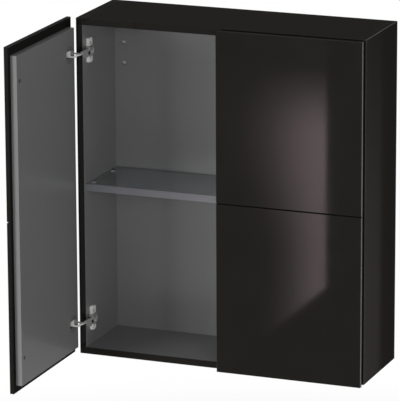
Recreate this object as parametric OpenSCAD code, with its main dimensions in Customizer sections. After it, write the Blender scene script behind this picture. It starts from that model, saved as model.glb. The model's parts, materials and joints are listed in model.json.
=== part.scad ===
// Wall cabinet with two wide-opening doors, shown with the left door open.
// X runs across the front, -Y is the front, Z is up, and the wall is the plane Y = 0.
// Pieces of a door and its hinges are written in corner coordinates: x from the outer
// side, y from the carcass front towards the wall, z from the bottom edge.

/* [Carcass] */
// Width over the two sides
width = 700; // [500:10:1000]
// Height of the carcass and of the doors
height = 800; // [600:10:1200]
// Depth of the carcass, from the wall to the front edges of its boards
carcass_depth = 218; // [180:1:350]
// Thickness of the side, top and bottom boards
board = 16; // [15:0.5:18]
// Thickness of the back board
back_board = 8; // [6:0.5:10]
// Depth of the grooves that hold the back board
back_groove = 6; // [4:0.5:8]
// Space between the back board and the wall, where the hangers sit
wall_void = 20; // [20:1:30]
// Radius worn and sanded on the long front edges
edge_r = 1; // [0.5:0.25:2]

/* [Doors] */
// Thickness of the outer front panel
front_board = 10; // [8:0.5:14]
// Thickness of the inner panel that carries the front panel
inner_board = 15; // [15:0.5:19]
// Gap between the two front panels when both doors are shut
door_gap = 2.8; // [2:0.2:5]
// Rim of the front panel beyond the inner panel, on the hinge side
rim_hinge = 16.5; // [16:0.5:19]
// Rim on the free side, the grip that opens the door
rim_free = 13; // [10:0.5:20]
// Rim along the top
rim_top = 21; // [15:1:30]
// Rim along the bottom
rim_bottom = 17; // [15:1:30]
// Width of the groove across the middle of each front
groove_w = 3; // [2:0.5:5]
// Depth of that groove
groove_d = 4; // [2:0.5:6]
// Opening angle at which the left door stands
left_angle = 90; // [0:1:110]
// Opening angle at which the right door stands
right_angle = 0; // [0:1:110]

/* [Shelf] */
// Height of the shelf's top above the cabinet's bottom
shelf_top = 408; // [200:1:520]
// Thickness of the glass
glass_t = 6; // [5:0.5:8]
// Height of the front rail
rail_h = 16.5; // [14:0.5:25]
// Wall thickness of the front rail
rail_t = 1.6; // [1.2:0.1:2.5]
// Distance from the carcass front back to the rail
rail_setback = 7; // [4:1:20]
// Gap left at each end of the shelf
shelf_end_gap = 1; // [0.5:0.25:2]
// Diameter of the shelf supports where they enter the side boards
support_d = 5; // [4:0.5:6]

/* [Hinges] */
// Distance from the cabinet's top down to the upper hinge
hinge_from_top = 80; // [60:1:140]
// Distance from the cabinet's bottom up to the lower hinge
hinge_from_bottom = 80; // [60:1:140]
// Door axis, measured in from the outer side
axis_x = 3; // [2:0.25:4]
// Door axis, measured back from the carcass front
axis_y = 3; // [2:0.25:4]
// Diameter of the hinge cup
cup_d = 40; // [39:0.5:41]
// Depth of the hinge cup
cup_depth = 12.5; // [12:0.25:13]
// Distance from the inner panel's edge to the edge of the cup
cup_edge = 6.5; // [6:0.25:7]
// Thickness of each hinge link
link_t = 3; // [2.5:0.1:3]
// Width of each hinge link
link_w = 4.2; // [3.8:0.1:4.4]
// Gap between neighbouring links
link_gap = 0.35; // [0.3:0.05:0.4]
// Diameter of the hinge pins
pin_d = 3; // [2.4:0.1:3]
// Setback of the mounting plate's screw line from the carcass front
plate_line = 32; // [28:0.5:37]
// Spacing of the mounting plate's two screws
plate_screws = 32; // [30:1:38]
// Length of the mounting plate
plate_l = 57; // [56:1:70]
// Thickness of the mounting plate's two wings
wing_t = 7; // [6:0.5:8.5]

/* [Wall hangers] */
// Distance from the cabinet's top down to the upper adjusting screw
hanger_from_top = 94; // [80:1:140]
// Distance between the two adjusting screws of a hanger
hanger_screws_apart = 49; // [40:1:60]
// Width of a hanger's housing
hanger_w = 44; // [40:1:50]
// Width of the hook
hook_w = 16; // [12:1:20]
// Spacing of the two wall screws of a wall plate
wall_screws_apart = 32; // [24:1:40]
// Diameter of the holes for the wall screws
wall_hole_d = 6.5; // [5:0.5:8]

/* [Hidden] */
$fn = 48;

// Finishes
black_gloss = [0.03, 0.03, 0.032];
graphite = [0.25, 0.25, 0.25];
nickel = [0.75, 0.75, 0.77];
steel = [0.6, 0.6, 0.62];
dark_zinc = [0.2, 0.2, 0.2];
aluminium = [0.68, 0.7, 0.74];
glass_tint = [0.6, 0.72, 0.72, 0.5];
beech = [0.78, 0.62, 0.42];
dark_plastic = [0.08, 0.08, 0.085];

// Fits
seat_clear = 0.02;
run_clear = 0.05;
slip_clear = 0.1;
bore_spare = 0.5;
cut_over = 1;
eps = 0.01;

// Carcass
side_inner = board;
inner_w = width - 2 * board;
back_front = carcass_depth - wall_void - back_board;
back_rear = back_front + back_board;
back_edge_gap = 0.5;
dowel_d = 8;
dowel_skin = 5;
dowel_in_side = board - dowel_skin;
dowel_in_board = 23;
dowel_from_front = 30.5;
dowel_from_back = 15.5;
dowel_rows = [dowel_from_front, carcass_depth / 2, back_front - dowel_from_back];

// Doors
door_w = (width - door_gap) / 2;
door_t = front_board + inner_board;
inner_x0 = rim_hinge;
inner_x1 = door_w - rim_free;

// Screws that hold the front panel, near its free edge
front_screw_in = 15;
front_screw_from_end = 80;
front_screw_d = 4;
front_screw_head_d = 7.6;
front_screw_head_h = 3.4;
front_screw_bite = 6;
cap_d = 9;
cap_t = 2.6;
cap_proud = 0.6;
cap_bore_depth = cap_t - cap_proud + front_screw_head_h;

// Hinge: pivots. The door's line of pivots turns about the axis, the arm's line stays.
// Both lines run out from the axis, and the links keep a double parallelogram between them.
link_r = link_w / 2;
link_waist = 0.2;
layer_pitch = link_t + link_gap;
link_layers = 4;
links_h = link_layers * layer_pitch - link_gap;
arm_h = (link_layers + 2) * layer_pitch - link_gap;
door_line_dip = 15;
cup_r = cup_d / 2;
cup_x = inner_x0 + cup_edge + cup_r;
cup_wall = 0.85;
pocket_clear = 0.4;
pocket_z = links_h / 2 + pocket_clear;
pocket_x = sqrt(pow(cup_r - cup_wall, 2) - pow(pocket_z, 2));
pocket_floor = 1.2;
pivot_axis = [axis_x, axis_y];
arm_pivot_side = 4.4;
arm_pivot_rise = 0.8;
arm_pivot_1 = [side_inner + link_r + arm_pivot_side, axis_y + arm_pivot_rise];
arm_line = (arm_pivot_1 - pivot_axis) / norm(arm_pivot_1 - pivot_axis);
near_margin = 2.5;
far_margin = 0.7;
arm_line_short = 1.2;
cup_near = (cup_x - pocket_x + link_r + near_margin - axis_x) / cos(door_line_dip);
cup_far = (cup_x + pocket_x - link_r - far_margin - arm_pivot_1[0]) / cos(door_line_dip);
arm_pivot_2 = arm_pivot_1
    + arm_line * ((cup_far - cup_near) * cos(door_line_dip) - arm_line_short);
wall_lap = 0.3;
wall_stand = 1.1;
wall_in = link_r - wall_lap;
wall_out = link_r + wall_stand;
wall_top = 9;
crown_z = wall_top + pocket_clear;
crown_x = sqrt(pow(cup_r - cup_wall, 2) - pow(crown_z, 2));
guide_wall_from = 5.9;
guide_wall_low = 18;
guide_wall_to = cup_near - link_r - pocket_clear;
long_wall_gap = 0.5;
long_wall_to = norm(arm_pivot_1 - pivot_axis) - (cup_far - cup_near) - link_r - long_wall_gap;
short_wall_to = 6.8;
pin_r = pin_d / 2;
rivet_over = 0.8;
rivet_r = pin_r + rivet_over;
rivet_h = 0.7;
cup_pin_bite = 3;
cup_pin_spare = 0.3;
rim_over = 1.2;
rim_r = cup_r + rim_over;
rim_t = 0.6;
cup_seat_gap = 0.1;

// Hinge: arm, mounting plate and screws
plate_t = 2.5;
cheek_wall = 1.2;
cheek_r = link_r + cheek_wall;
arm_x0 = side_inner + plate_t + slip_clear;
arm_x1 = arm_pivot_2[0] + cheek_r;
arm_web = 2;
arm_y0 = 9;
arm_tail = 9;
arm_step = 6.4;
arm_step_y = [21, 26];
arm_rear_x1 = arm_x1 - arm_step;
arm_y1 = plate_line + arm_tail;
plate_w = 19;
plate_corner_r = 4;
saddle_nose = 19;
saddle_tail = 8;
saddle_rear_drop = 1.5;
saddle_drop = 2.5;
saddle_clear = 0.3;
saddle_y0 = plate_line - saddle_nose;
saddle_y1 = plate_line + saddle_tail;
saddle_x1 = arm_x1 - arm_web - saddle_drop;
saddle_z = arm_h / 2 - link_t - saddle_clear;
saddle_rear_x1 = arm_rear_x1 - arm_web - saddle_rear_drop;
saddle_step_lead = 1;
saddle_step_y = arm_step_y[0] - saddle_step_lead;
wing_gap = 0.5;
plate_screw_d = 5;
plate_screw_head_d = 8;
plate_screw_head_h = 2.2;
screw_skin = 5;
plate_screw_bite = board - screw_skin;
adjuster_d = 6;
adjuster_head_d = 8;
adjuster_head_h = 1.6;
adjuster_in = [3.5, 4.5];
// Each adjuster as its depth, the saddle's face and the arm's face
adjusters = [
    [saddle_y0 + adjuster_in[0], saddle_x1, arm_x1],
    [saddle_y1 - adjuster_in[1], saddle_rear_x1, arm_rear_x1]
];
adjuster_bite = 5;
hinge_z = [hinge_from_bottom, height - hinge_from_top];

// Shelf
lip = 1;
glass_top = shelf_top - lip;
glass_bottom = glass_top - glass_t;
glass_end_gap = 0.2;
glass_back_gap = 1;
glass_y0 = rail_setback + rail_t + glass_end_gap;
glass_y1 = back_front - glass_back_gap;
rail_grip = 8;
rail_ledge = 1.2;
rail_ledge_w = 10;
rail_return_w = 6;
support_from_line = 13;
support_from_back = 30;
support_y = [plate_line + support_from_line, back_front - support_from_back];
support_bite = 9;
support_reach = 10;
seat_w = 12;
seat_t = 3;
seat_end_gap = 0.2;
seat_corner_r = 2;

// Wall hangers
hanger_x = side_inner + hanger_w / 2;
hanger_z1 = height - hanger_from_top;
hanger_z0 = hanger_z1 - hanger_screws_apart;
hanger_over = 22;
hanger_under = 16;
hanger_gap = 0.3;
hanger_wall_gap = 8;
hanger_top = hanger_z1 + hanger_over;
hanger_bottom = hanger_z0 - hanger_under;
hanger_y0 = back_rear + hanger_gap;
hanger_y1 = carcass_depth - hanger_wall_gap;
hanger_screw_d = 8;
hanger_screw_set = [0.4, 1];
hanger_corner_r = 5;
access_w = 14;
access_h = 8;
hook_t = 3;
hook_slot_wall = 2;
hook_end_gap = 0.2;
hook_rise = 10;
hook_z = hanger_z1 + hook_rise;
hook_drop = 13;
plate_steel = 2.5;
lip_gap = 0.6;
claw_gap = 0.4;
lip_y = hanger_y1 + lip_gap;
claw_y = lip_y + plate_steel + claw_gap;
hook_play = 3;
wall_plate_edge = 13;
wall_plate_w = wall_screws_apart + 2 * wall_plate_edge;
wall_plate_h = 30;
wall_plate_x = side_inner + wall_plate_w / 2;

// Places

// Corner coordinates of the left door
module left_corner() {
    translate([-width / 2, -carcass_depth, 0]) children();
}

// Corner coordinates of the right door, the mirror image
module right_corner() {
    mirror([1, 0, 0]) left_corner() children();
}

module both_corners() {
    left_corner() children();
    right_corner() children();
}

// Turns a shut door's piece open about the door axis
module swing(angle) {
    translate([axis_x, axis_y, 0]) rotate([0, 0, -angle])
        translate([-axis_x, -axis_y, 0]) children();
}

// Repeats a piece at the lower and the upper hinge
module at_hinges() {
    for (z = hinge_z) translate([0, 0, z]) children();
}

// Lays a profile drawn in depth and height along the width, from x0 to x1
module along_x(x0, x1) {
    translate([x0, 0, 0]) rotate([90, 0, 90]) linear_extrude(x1 - x0) children();
}

// Stands an outline drawn in width and height up, from depth y0 to y1
module through_y(y0, y1) {
    translate([0, y1, 0]) rotate([90, 0, 0]) linear_extrude(y1 - y0) children();
}

// Rod along x from x0 to x1
module rod_x(x0, x1, r) {
    translate([x0, 0, 0]) rotate([0, 90, 0]) cylinder(h = x1 - x0, r = r);
}

// Rod along y from y0 to y1
module rod_y(y0, y1, r) {
    translate([0, y1, 0]) rotate([90, 0, 0]) cylinder(h = y1 - y0, r = r);
}

// Rectangle with round corners, centred
module round_plate(w, h, r) {
    square([w - 2 * r, h], center = true);
    square([w, h - 2 * r], center = true);
    for (x = [-1, 1], y = [-1, 1]) translate([x * (w / 2 - r), y * (h / 2 - r)]) circle(r);
}

// Rectangle from [x0, y0] to [x1, y1] with its two corners at y0 rounded
module eased_board(x0, y0, x1, y1, r) {
    translate([x0, y0 + r]) square([x1 - x0, y1 - y0 - r]);
    translate([x0 + r, y0]) square([x1 - x0 - 2 * r, r + eps]);
    for (x = [x0 + r, x1 - r]) translate([x, y0 + r]) circle(r);
}

// Carcass

// Groove for the back board, as a profile in depth and height, cut into a board above z = 0
module back_groove_profile(depth) {
    translate([back_front - slip_clear, -depth]) square([back_board + 2 * slip_clear, depth + eps]);
}

module dowel_bores(x0, x1) {
    for (y = dowel_rows, z = [board / 2, height - board / 2])
        translate([0, y, z]) rod_x(x0, x1, dowel_d / 2 + seat_clear);
}

module side_board() {
    difference() {
        linear_extrude(height) eased_board(0, 0, board, carcass_depth, edge_r);
        translate([side_inner - back_groove, back_front - slip_clear, board - back_groove])
            cube([back_groove + eps, back_board + 2 * slip_clear, height - 2 * (board - back_groove)]);
        dowel_bores(side_inner - dowel_in_side - bore_spare, side_inner + eps);
        for (y = support_y) translate([0, y, glass_bottom - seat_t])
            rod_x(side_inner - support_bite - bore_spare, side_inner + eps, support_d / 2 + seat_clear);
        at_hinges() for (s = [-1, 1]) translate([0, plate_line, s * plate_screws / 2])
            rod_x(side_inner - plate_screw_bite - bore_spare, side_inner + eps,
                plate_screw_d / 2 + seat_clear);
    }
}

module left_side_board() {
    color(black_gloss) left_corner() side_board();
}

module right_side_board() {
    color(black_gloss) right_corner() side_board();
}

// Top or bottom board, drawn as the bottom one with its groove facing up
module cross_board() {
    difference() {
        along_x(-inner_w / 2, inner_w / 2) difference() {
            square([carcass_depth, board]);
            translate([0, board]) back_groove_profile(back_groove);
        }
        for (side = [0, 1], y = dowel_rows) mirror([side, 0, 0]) translate([0, y, board / 2])
            rod_x(inner_w / 2 - dowel_in_board - bore_spare, inner_w / 2 + eps, dowel_d / 2 + seat_clear);
    }
}

module bottom_board() {
    color(black_gloss) translate([0, -carcass_depth, 0]) cross_board();
}

module top_board() {
    color(black_gloss) translate([0, -carcass_depth, height]) mirror([0, 0, 1]) cross_board();
}

// Back board in its grooves, with the slots through which the hangers are adjusted
module back_board_panel() {
    half_w = inner_w / 2 + back_groove - back_edge_gap;
    z0 = board - back_groove + back_edge_gap;
    color(graphite) translate([0, -carcass_depth, 0]) difference() {
        translate([-half_w, back_front, z0]) cube([2 * half_w, back_board, height - 2 * z0]);
        for (s = [-1, 1], z = [hanger_z0, hanger_z1])
            translate([s * (width / 2 - hanger_x), 0, z])
                through_y(back_front - cut_over, back_rear + cut_over) access_slot();
    }
}

module access_slot() {
    square([access_w - access_h, access_h], center = true);
    for (s = [-1, 1]) translate([s * (access_w - access_h) / 2, 0]) circle(access_h / 2);
}

module board_dowels() {
    color(beech) both_corners() for (y = dowel_rows, z = [board / 2, height - board / 2])
        translate([0, y, z])
            rod_x(side_inner - dowel_in_side, side_inner + dowel_in_board, dowel_d / 2);
}

// Shelf

module shelf_glass() {
    half_w = inner_w / 2 - shelf_end_gap;
    color(glass_tint) translate([-half_w, glass_y0 - carcass_depth, glass_bottom])
        cube([2 * half_w, glass_y1 - glass_y0, glass_t]);
}

// Rail profile: front wall, lip over the glass, ledge under it and a return at the bottom
module rail_profile() {
    translate([rail_setback, shelf_top - rail_h]) square([rail_t, rail_h]);
    translate([rail_setback, shelf_top - lip]) square([rail_grip, lip]);
    translate([rail_setback, glass_bottom - rail_ledge]) square([rail_ledge_w, rail_ledge]);
    translate([rail_setback, shelf_top - rail_h]) square([rail_return_w, rail_ledge]);
}

module shelf_front_rail() {
    half_w = inner_w / 2 - shelf_end_gap;
    color(aluminium) translate([0, -carcass_depth, 0]) along_x(-half_w, half_w) rail_profile();
}

// Plug in the side board with a flat seat under the glass
module shelf_support() {
    translate([0, 0, glass_bottom - seat_t])
        rod_x(side_inner - support_bite, side_inner + support_reach, support_d / 2);
    translate([side_inner + seat_end_gap, 0, glass_bottom - seat_t]) linear_extrude(seat_t)
        translate([support_reach / 2, 0])
            round_plate(support_reach - 2 * seat_end_gap, seat_w, seat_corner_r);
}

module shelf_supports() {
    color(nickel) both_corners() for (y = support_y) translate([0, y, 0]) shelf_support();
}

// Wall hangers

module hanger_housing() {
    difference() {
        translate([hanger_x, 0, (hanger_top + hanger_bottom) / 2]) through_y(hanger_y0, hanger_y1)
            round_plate(hanger_w, hanger_top - hanger_bottom, hanger_corner_r);
        for (z = [hanger_z0, hanger_z1]) translate([hanger_x, 0, z])
            rod_y(hanger_y0 - cut_over, hanger_y1 + cut_over, hanger_screw_d / 2 + seat_clear);
        translate([hanger_x - hook_w / 2 - slip_clear, hanger_y0 + hook_slot_wall, hook_z - slip_clear])
            cube([hook_w + 2 * slip_clear, hanger_y1, hook_t + 2 * slip_clear]);
    }
}

module hanger_housings() {
    color(steel) both_corners() hanger_housing();
}

// Hook that reaches back over the wall plate and drops behind its lip
module hook() {
    hook_y = hanger_y0 + hook_slot_wall + hook_end_gap;
    along_x(hanger_x - hook_w / 2, hanger_x + hook_w / 2) {
        translate([hook_y, hook_z]) square([claw_y + hook_t - hook_y, hook_t]);
        translate([claw_y, hook_z - hook_drop]) square([hook_t, hook_drop + eps]);
    }
}

module hanger_hooks() {
    color(steel) both_corners() hook();
}

module hanger_screws() {
    color(nickel) both_corners() for (z = [hanger_z0, hanger_z1])
        translate([hanger_x, 0, z])
            rod_y(hanger_y0 + hanger_screw_set[0], hanger_y1 - hanger_screw_set[1], hanger_screw_d / 2);
}

// Plate screwed flat to the wall, stepped forward at its top into a lip for the hook
module wall_plate() {
    step_z = hook_z - hook_drop - hook_play - plate_steel;
    difference() {
        along_x(wall_plate_x - wall_plate_w / 2, wall_plate_x + wall_plate_w / 2) {
            translate([lip_y, step_z]) square([plate_steel, hook_z - step_z]);
            translate([lip_y, step_z]) square([carcass_depth - lip_y, plate_steel]);
            translate([carcass_depth - plate_steel, step_z - wall_plate_h])
                square([plate_steel, wall_plate_h + eps]);
        }
        for (s = [-1, 1])
            translate([wall_plate_x + s * wall_screws_apart / 2, 0, step_z - wall_plate_h / 2])
                rod_y(carcass_depth - 2 * plate_steel, carcass_depth + cut_over, wall_hole_d / 2);
    }
}

module wall_plates() {
    color(steel) both_corners() wall_plate();
}

// Hinge: what stays on the carcass

module hinge_plate() {
    difference() {
        union() {
            translate([side_inner, plate_line, 0]) rotate([0, 90, 0]) {
                linear_extrude(plate_t) round_plate(plate_l, plate_w, plate_corner_r);
                linear_extrude(wing_t) difference() {
                    round_plate(plate_l, plate_w, plate_corner_r);
                    square([arm_h + 2 * wing_gap, plate_w + cut_over], center = true);
                }
            }
            translate([side_inner, saddle_y0, -saddle_z])
                cube([saddle_x1 - side_inner, saddle_step_y - saddle_y0, 2 * saddle_z]);
            translate([side_inner, saddle_y0, -saddle_z])
                cube([saddle_rear_x1 - side_inner, saddle_y1 - saddle_y0, 2 * saddle_z]);
        }
        for (s = [-1, 1]) translate([0, plate_line, s * plate_screws / 2]) {
            rod_x(side_inner - cut_over, side_inner + wing_t + cut_over, plate_screw_d / 2 + seat_clear);
            rod_x(side_inner + wing_t - plate_screw_head_h, side_inner + wing_t + cut_over,
                plate_screw_head_d / 2 + seat_clear);
        }
        for (adjuster = adjusters) translate([0, adjuster[0], 0])
            rod_x(adjuster[1] - adjuster_bite - bore_spare, adjuster[1] + cut_over,
                adjuster_d / 2 + seat_clear);
    }
}

module hinge_plates() {
    color(nickel) both_corners() at_hinges() hinge_plate();
}

module plate_screw() {
    head_x = side_inner + wing_t - plate_screw_head_h;
    rod_x(side_inner - plate_screw_bite, head_x + eps, plate_screw_d / 2);
    rod_x(head_x, side_inner + wing_t, plate_screw_head_d / 2);
}

module hinge_plate_screws() {
    color(steel) both_corners() at_hinges() for (s = [-1, 1])
        translate([0, plate_line, s * plate_screws / 2]) plate_screw();
}

// Bottom of a layer of the hinge's stack: the links lie in layers 0 to 3, and the arm's
// cheeks in the layers below and above
function layer_z(layer) = layer * layer_pitch - links_h / 2;
function layer_top(layer) = layer_z(layer) + link_t;

// Side view of the arm behind its pivots, stepped down towards its tail
arm_outline = [
    [arm_x0, arm_y0], [arm_x1, arm_y0], [arm_x1, arm_step_y[0]],
    [arm_rear_x1, arm_step_y[1]], [arm_rear_x1, arm_y1], [arm_x0, arm_y1]
];
arm_web_outline = [
    [arm_x1 - arm_web, arm_y0], [arm_x1, arm_y0], [arm_x1, arm_step_y[0]],
    [arm_rear_x1, arm_step_y[1]], [arm_rear_x1, arm_y1], [arm_rear_x1 - arm_web, arm_y1],
    [arm_rear_x1 - arm_web, arm_step_y[1] - arm_web / 2], [arm_x1 - arm_web, arm_step_y[0] - arm_web / 2]
];

// Cheek of the arm round the pivot that it carries
module arm_cheek(pivot, layer) {
    translate([0, 0, layer_z(layer)]) linear_extrude(link_t) difference() {
        union() {
            polygon(arm_outline);
            translate([pivot[0] - cheek_r, pivot[1]]) square([2 * cheek_r, arm_y0 - pivot[1] + eps]);
            translate(pivot) circle(cheek_r);
        }
        translate(pivot) circle(pin_r + seat_clear);
    }
}

// Channel-shaped arm: two cheeks and a web, open towards the side board. A boss carries the
// lower cheek's pivot up to its link.
module hinge_arm() {
    difference() {
        union() {
            arm_cheek(arm_pivot_1, -1);
            arm_cheek(arm_pivot_2, link_layers);
            translate([arm_pivot_1[0], arm_pivot_1[1], layer_z(-1)])
                cylinder(h = layer_top(0) - layer_z(-1), r = link_r);
            translate([0, 0, -arm_h / 2]) linear_extrude(arm_h) polygon(arm_web_outline);
        }
        translate([arm_pivot_1[0], arm_pivot_1[1], -arm_h / 2 - cut_over])
            cylinder(h = arm_h, r = pin_r + seat_clear);
        for (adjuster = adjusters) translate([0, adjuster[0], 0])
            rod_x(adjuster[2] - arm_web - cut_over, adjuster[2] + cut_over, adjuster_d / 2 + seat_clear);
    }
}

module hinge_arms() {
    color(nickel) both_corners() at_hinges() hinge_arm();
}

// Screws through the web into the saddle, which set the arm's depth and side reach
module hinge_adjusters() {
    color(steel) both_corners() at_hinges() for (adjuster = adjusters) translate([0, adjuster[0], 0]) {
        rod_x(adjuster[1] - adjuster_bite, adjuster[2] + eps, adjuster_d / 2);
        rod_x(adjuster[2], adjuster[2] + adjuster_head_h, adjuster_head_d / 2);
    }
}

// Pin at a pivot, from height z0 to z1
module pin(pivot, z0, z1) {
    translate([pivot[0], pivot[1], z0]) cylinder(h = z1 - z0, r = pin_r);
}

// Riveted head on a pin's end
module rivet(pivot, z0) {
    translate([pivot[0], pivot[1], z0]) cylinder(h = rivet_h, r = rivet_r);
}

module hinge_arm_pins() {
    color(steel) both_corners() at_hinges() {
        pin(arm_pivot_1, layer_z(-1) - eps, layer_top(1));
        rivet(arm_pivot_1, layer_z(-1) - rivet_h);
        pin(arm_pivot_2, layer_z(3), layer_top(link_layers) + eps);
        rivet(arm_pivot_2, layer_top(link_layers));
    }
}

// Hinge: links. At opening angle a the door's line of pivots points along door_line(a).
function door_line(a) = [cos(door_line_dip + a), -sin(door_line_dip + a)];
function near_joint(a) = arm_pivot_1 + cup_near * door_line(a);
function far_joint(a) = arm_pivot_1 + cup_far * door_line(a);
function guide_joint(a) = arm_pivot_2 + cup_near * door_line(a);
function cup_pivot_1(a) = pivot_axis + cup_near * door_line(a);
function cup_pivot_2(a) = pivot_axis + cup_far * door_line(a);

// Flat link in one layer, from its first pivot to its last, with a round eye at each. The
// bores at the indices in "held" hold their pins tight and the others turn on theirs.
module link(pivots, layer, held) {
    first = pivots[0];
    run = pivots[len(pivots) - 1] - first;
    translate([0, 0, layer_z(layer)]) linear_extrude(link_t) difference() {
        union() {
            translate(first) rotate(atan2(run[1], run[0])) translate([0, link_waist - link_r])
                square([norm(run), link_w - 2 * link_waist]);
            for (pivot = pivots) translate(pivot) circle(link_r);
        }
        for (i = [0 : len(pivots) - 1]) translate(pivots[i])
            circle(pin_r + (len(search(i, held)) > 0 ? seat_clear : run_clear));
    }
}

// Wall on one side of a link, from from_s to to_s along it and from height z0 to z1
module link_wall(first, last, side, from_s, to_s, z0, z1) {
    run = last - first;
    translate([first[0], first[1], z0]) rotate(atan2(run[1], run[0]))
        translate([from_s, side > 0 ? wall_in : -wall_out, 0])
            cube([to_s - from_s, wall_out - wall_in, z1 - z0]);
}

module main_links(a) {
    color(nickel) at_hinges() link([arm_pivot_1, near_joint(a), far_joint(a)], 1, [1, 2]);
}

module main_link_pins(a) {
    color(steel) at_hinges() {
        pin(near_joint(a), layer_z(1), layer_top(2));
        pin(far_joint(a), layer_z(0), layer_top(1));
    }
}

module guide_links(a) {
    color(nickel) at_hinges() {
        link([arm_pivot_2, guide_joint(a)], 3, [1]);
        link_wall(arm_pivot_2, guide_joint(a), 1, guide_wall_from, guide_wall_low, -arm_h / 2, arm_h / 2);
        link_wall(arm_pivot_2, guide_joint(a), 1, guide_wall_low - eps, guide_wall_to,
            layer_z(0), wall_top);
    }
}

module guide_link_pins(a) {
    color(steel) at_hinges() pin(guide_joint(a), layer_z(2), layer_top(3));
}

module long_cross_links(a) {
    color(nickel) at_hinges() {
        link([guide_joint(a), near_joint(a), cup_pivot_1(a)], 2, []);
        link_wall(cup_pivot_1(a), guide_joint(a), -1, -link_r, long_wall_to, layer_z(1), wall_top);
    }
}

module short_cross_links(a) {
    color(nickel) at_hinges() {
        link([far_joint(a), cup_pivot_2(a)], 0, []);
        link_wall(cup_pivot_2(a), far_joint(a), -1, -link_r, short_wall_to, layer_z(0), wall_top);
    }
}

// Hinge: what turns with the door, drawn shut

// Cup with a rim let in flush, and a pocket in which the links fold away
module hinge_cup() {
    difference() {
        translate([cup_x, 0, 0]) {
            rod_y(-cup_depth, 0, cup_r);
            rod_y(-rim_t, 0, rim_r);
        }
        translate([cup_x - pocket_x, -cup_depth + pocket_floor, -pocket_z])
            cube([2 * pocket_x, cup_depth, 2 * pocket_z]);
        translate([cup_x - crown_x, -cup_depth + pocket_floor, -pocket_z])
            cube([2 * crown_x, cup_depth, pocket_z + crown_z]);
        for (p = [cup_pivot_1(0), cup_pivot_2(0)])
            translate([p[0], p[1], -pocket_z - cup_pin_bite - cup_pin_spare])
                cylinder(h = cup_pin_bite + cut_over, r = pin_r + seat_clear);
    }
}

module hinge_cups(a) {
    color(dark_zinc) swing(a) at_hinges() hinge_cup();
}

module cup_pins(a) {
    color(steel) swing(a) at_hinges() {
        pin(cup_pivot_1(0), -pocket_z - cup_pin_bite, layer_top(2));
        pin(cup_pivot_2(0), -pocket_z - cup_pin_bite, layer_top(0));
    }
}

// Doors, drawn shut

// Repeats a piece at the two screws near the door's free edge
module at_front_screws() {
    for (z = [front_screw_from_end, height - front_screw_from_end])
        translate([inner_x1 - front_screw_in, 0, z]) children();
}

module front_panel(a) {
    color(black_gloss) swing(a) difference() {
        linear_extrude(height) eased_board(0, -door_t, door_w, -inner_board, edge_r);
        translate([-cut_over, -door_t - cut_over, (height - groove_w) / 2])
            cube([door_w + 2 * cut_over, groove_d + cut_over, groove_w]);
        at_front_screws()
            rod_y(-inner_board - front_screw_bite - bore_spare, -inner_board + cut_over,
                front_screw_d / 2 + seat_clear);
    }
}

module inner_panel(a) {
    color(graphite) swing(a) difference() {
        translate([inner_x0, -inner_board, rim_bottom])
            cube([inner_x1 - inner_x0, inner_board, height - rim_top - rim_bottom]);
        at_hinges() translate([cup_x, 0, 0]) {
            rod_y(-cup_depth - cup_seat_gap, cut_over, cup_r + seat_clear);
            rod_y(-rim_t - cup_seat_gap, cut_over, rim_r + seat_clear);
        }
        at_front_screws() {
            rod_y(-cap_bore_depth, cut_over, cap_d / 2 + seat_clear);
            rod_y(-inner_board - cut_over, 0, front_screw_d / 2 + seat_clear);
        }
    }
}

module front_screws(a) {
    color(steel) swing(a) at_front_screws() {
        rod_y(-cap_bore_depth, -cap_bore_depth + front_screw_head_h, front_screw_head_d / 2);
        rod_y(-inner_board - front_screw_bite, -cap_bore_depth + eps, front_screw_d / 2);
    }
}

module screw_caps(a) {
    color(dark_plastic) swing(a) at_front_screws() rod_y(cap_proud - cap_t, cap_proud, cap_d / 2);
}

// Nodes of the left door
module left_front_panel() { left_corner() front_panel(left_angle); }
module left_inner_panel() { left_corner() inner_panel(left_angle); }
module left_front_screws() { left_corner() front_screws(left_angle); }
module left_screw_caps() { left_corner() screw_caps(left_angle); }
module left_hinge_cups() { left_corner() hinge_cups(left_angle); }
module left_cup_pins() { left_corner() cup_pins(left_angle); }
module left_main_links() { left_corner() main_links(left_angle); }
module left_main_link_pins() { left_corner() main_link_pins(left_angle); }
module left_guide_links() { left_corner() guide_links(left_angle); }
module left_guide_link_pins() { left_corner() guide_link_pins(left_angle); }
module left_long_cross_links() { left_corner() long_cross_links(left_angle); }
module left_short_cross_links() { left_corner() short_cross_links(left_angle); }

// Nodes of the right door
module right_front_panel() { right_corner() front_panel(right_angle); }
module right_inner_panel() { right_corner() inner_panel(right_angle); }
module right_front_screws() { right_corner() front_screws(right_angle); }
module right_screw_caps() { right_corner() screw_caps(right_angle); }
module right_hinge_cups() { right_corner() hinge_cups(right_angle); }
module right_cup_pins() { right_corner() cup_pins(right_angle); }
module right_main_links() { right_corner() main_links(right_angle); }
module right_main_link_pins() { right_corner() main_link_pins(right_angle); }
module right_guide_links() { right_corner() guide_links(right_angle); }
module right_guide_link_pins() { right_corner() guide_link_pins(right_angle); }
module right_long_cross_links() { right_corner() long_cross_links(right_angle); }
module right_short_cross_links() { right_corner() short_cross_links(right_angle); }

left_side_board();
right_side_board();
top_board();
bottom_board();
back_board_panel();
board_dowels();
shelf_glass();
shelf_front_rail();
shelf_supports();
hanger_housings();
hanger_hooks();
hanger_screws();
wall_plates();
hinge_plates();
hinge_plate_screws();
hinge_arms();
hinge_adjusters();
hinge_arm_pins();
left_front_panel();
left_inner_panel();
left_front_screws();
left_screw_caps();
left_hinge_cups();
left_cup_pins();
left_main_links();
left_main_link_pins();
left_guide_links();
left_guide_link_pins();
left_long_cross_links();
left_short_cross_links();
right_front_panel();
right_inner_panel();
right_front_screws();
right_screw_caps();
right_hinge_cups();
right_cup_pins();
right_main_links();
right_main_link_pins();
right_guide_links();
right_guide_link_pins();
right_long_cross_links();
right_short_cross_links();
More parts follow.
